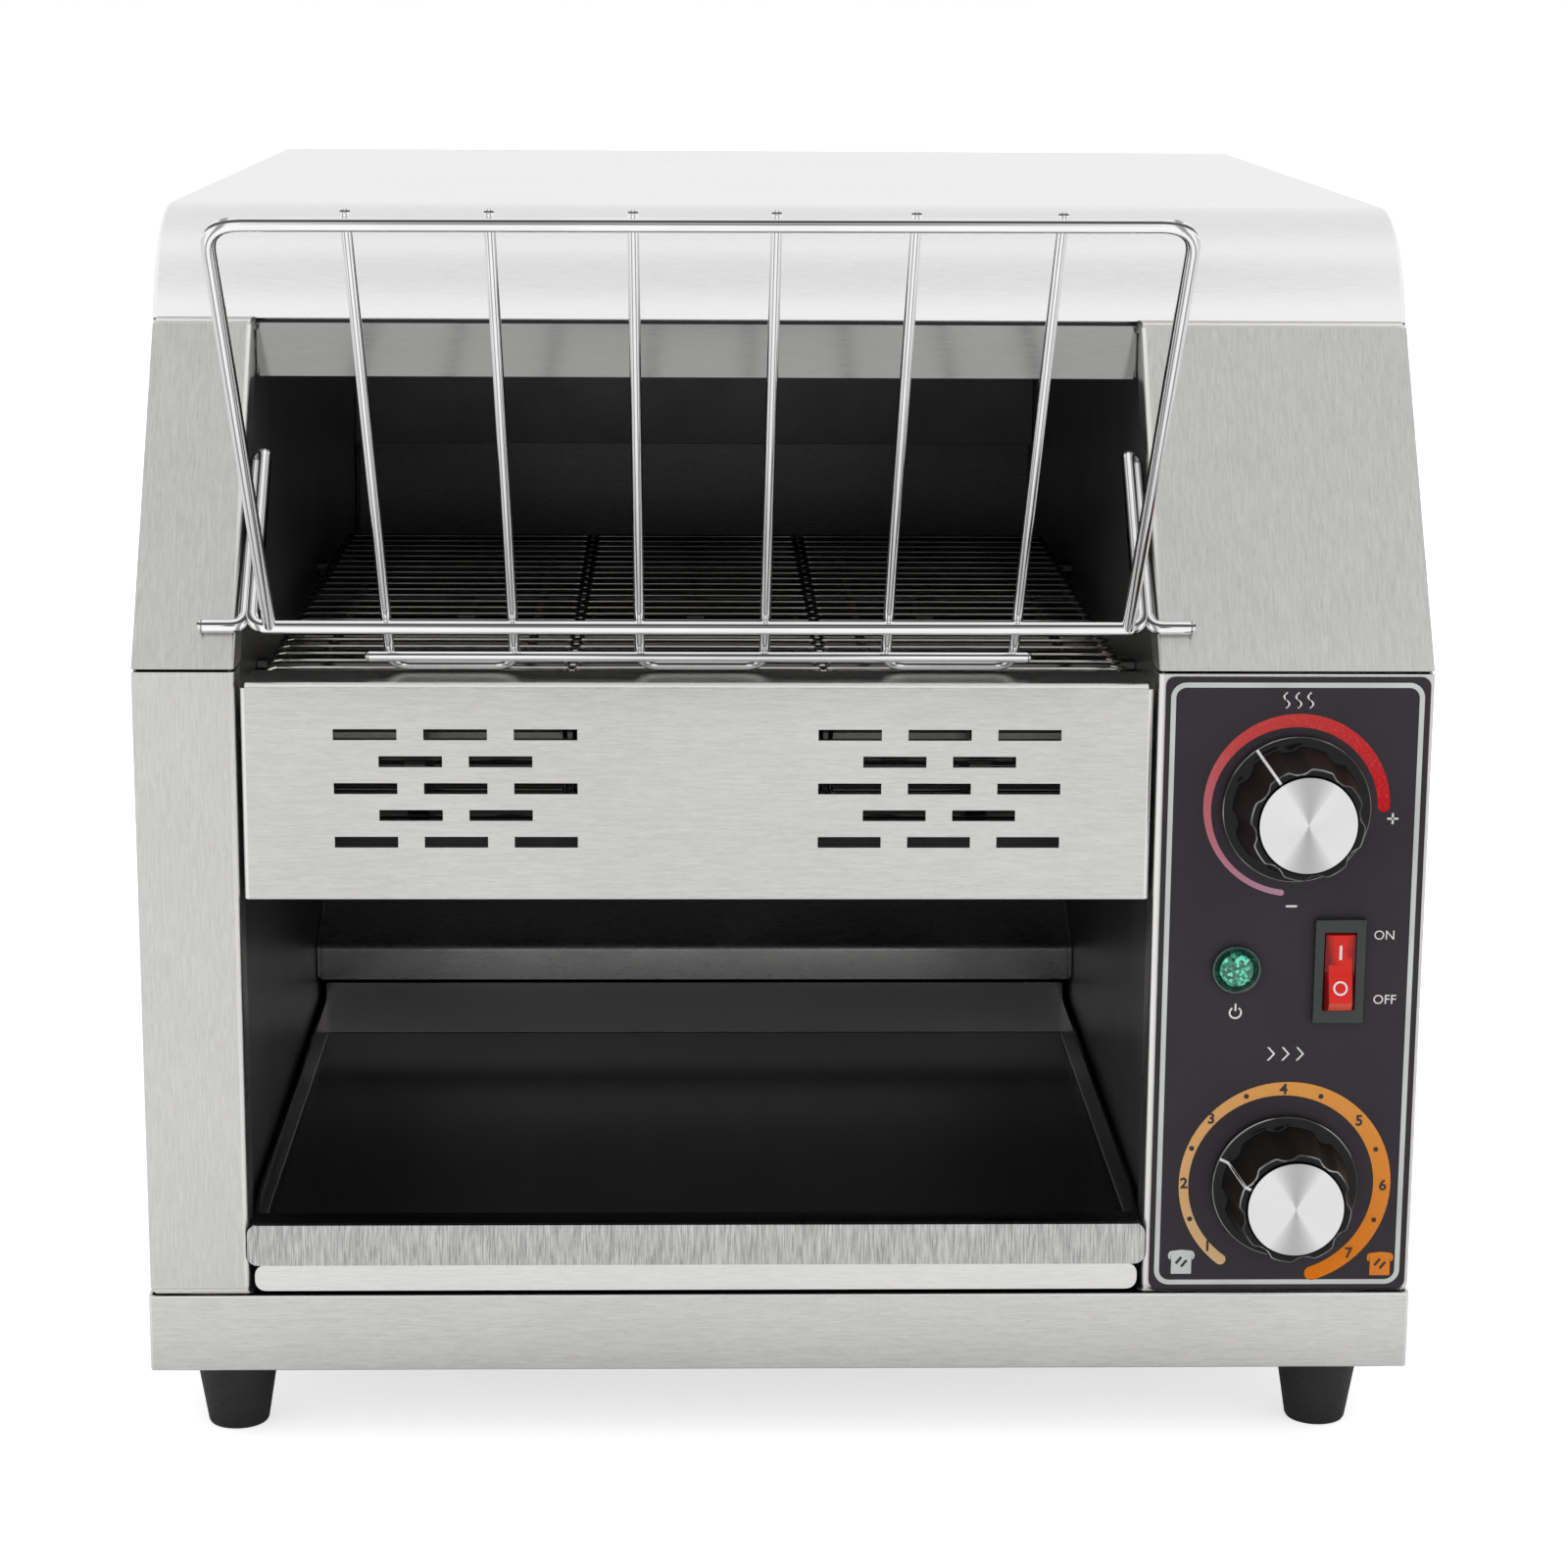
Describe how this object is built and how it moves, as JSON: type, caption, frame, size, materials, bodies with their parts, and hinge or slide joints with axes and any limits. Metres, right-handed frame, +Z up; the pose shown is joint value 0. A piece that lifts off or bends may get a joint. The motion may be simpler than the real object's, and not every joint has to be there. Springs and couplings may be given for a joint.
{
  "type": "conveyor toaster oven",
  "caption": "Countertop conveyor toaster: slanted mouth with wire feed rack, wire belt between quartz heaters, discharge chute, pull-out trays and a side control panel.",
  "frame": {"origin": "on the floor under the middle of the whole object's box", "axes": "+Z up, the mouth, trays and control panel face -Y, +Y runs to the back, +X to the right seen from the front"},
  "size_m": [0.3694, 0.5547, 0.3684],
  "materials": {
    "steel": "stainless sheet with a fine straight grain",
    "tray_steel": "stainless sheet with a fine straight grain",
    "bright_steel": "bright stainless sheet",
    "oven_lining": "aluminised steel, slightly heat-stained",
    "shaft_steel": "turned and welded steel",
    "belt_wire": "stainless wire, worn bright",
    "rack_chrome": "chromed wire",
    "knob_cap": "spun aluminium disc",
    "lamp_chrome": "chromed bezel",
    "black_panel": "printed satin black skin",
    "black_plastic": "semi-gloss black moulding",
    "red_plastic": "gloss red moulding",
    "green_lens": "faceted green lens",
    "motor_paint": "dark grey paint",
    "ceramic": "glazed ceramic",
    "quartz": "quartz tube round a coiled element",
    "brass": "turned brass",
    "rubber": "black rubber"
  },
  "bodies": {
    "chassis": {"base_pan": "steel", "foot_front_left": "rubber", "foot_front_right": "rubber", "foot_back_left": "rubber", "foot_back_right": "rubber", "left_side_panel": "steel", "right_side_panel": "steel", "left_post_lower": "steel", "left_post_upper": "steel", "control_fascia": "steel", "right_upper_fascia": "steel", "hood": "steel", "back_panel": "steel", "cavity_left_wall": "oven_lining", "cavity_right_wall": "oven_lining", "rear_heat_shield": "oven_lining", "discharge_chute": "bright_steel", "tray_rail_left": "oven_lining", "tray_rail_right": "oven_lining", "front_cover": "steel", "lower_reflector": "oven_lining", "upper_reflector": "oven_lining", "header_strip": "bright_steel", "upper_heater_1": "quartz", "upper_heater_2": "quartz", "upper_heater_3": "quartz", "lower_heater_1": "quartz", "lower_heater_2": "quartz", "heater_bracket_left": "oven_lining", "heater_bracket_right": "oven_lining", "conveyor_belt": "belt_wire", "belt_support": "shaft_steel", "bearing_front_left": "brass", "bearing_front_right": "brass", "bearing_rear_left": "brass", "bearing_rear_right": "brass", "gear_motor": "motor_paint", "control_overlay": "black_panel", "heat_control": "black_plastic", "speed_control": "black_plastic", "switch_housing": "black_plastic", "lamp_body": "lamp_chrome", "lamp_lens": "green_lens", "terminal_block": "ceramic", "fan_frame": "black_plastic", "cable_gland": "black_plastic"},
    "drive": {"drive_shaft": "shaft_steel", "shaft_coupling": "brass"},
    "idler": {"idler_shaft": "shaft_steel"},
    "rack": {"feed_rack": "rack_chrome"},
    "tray": {"toast_tray": "tray_steel"},
    "crumbs": {"crumb_tray": "tray_steel"},
    "heat_dial": {"heat_knob": "black_plastic", "heat_knob_cap": "knob_cap", "heat_spindle": "brass"},
    "speed_dial": {"speed_knob": "black_plastic", "speed_knob_cap": "knob_cap", "speed_spindle": "brass"},
    "rocker": {"power_rocker": "red_plastic"},
    "fan": {"fan_rotor": "black_plastic"}
  },
  "joints": [
    {"name": "belt_drive", "type": "hinge", "parent": "chassis", "child": "drive", "pos_m": [-0.02475, 0.10638, 0.20604], "axis": [-1, 0, 0], "continuous": true, "deforming": ["conveyor_belt"]},
    {"name": "idler_turn", "type": "hinge", "parent": "chassis", "child": "idler", "pos_m": [-0.02475, -0.14663, 0.20604], "axis": [-1, 0, 0], "continuous": true},
    {"name": "feed_rack_lift", "type": "slide", "parent": "chassis", "child": "rack", "axis": [0, 0, 1], "range_m": [0, 0.13]},
    {"name": "toast_tray_slide", "type": "slide", "parent": "chassis", "child": "tray", "axis": [0, -1, 0], "range_m": [0, 0.23]},
    {"name": "crumb_tray_slide", "type": "slide", "parent": "chassis", "child": "crumbs", "axis": [0, -1, 0], "range_m": [0, 0.38]},
    {"name": "heat_knob_turn", "type": "hinge", "parent": "chassis", "child": "heat_dial", "pos_m": [0.1456, -0.17563, 0.1936], "axis": [0, 1, 0], "range_deg": [-145, 125]},
    {"name": "speed_knob_turn", "type": "hinge", "parent": "chassis", "child": "speed_dial", "pos_m": [0.1462, -0.17563, 0.081], "axis": [0, 1, 0], "range_deg": [-66, 198]},
    {"name": "power_rocker_tilt", "type": "hinge", "parent": "chassis", "child": "rocker", "pos_m": [0.1598, -0.17843, 0.14565], "axis": [1, 0, 0], "range_deg": [0, 20]},
    {"name": "fan_spin", "type": "hinge", "parent": "chassis", "child": "fan", "pos_m": [0.14508, 0.24437, 0.15], "axis": [0, 1, 0], "continuous": true}
  ],
  "couplings": [
    {"joint": "idler_turn", "follows": "belt_drive", "ratio": 1}
  ]
}
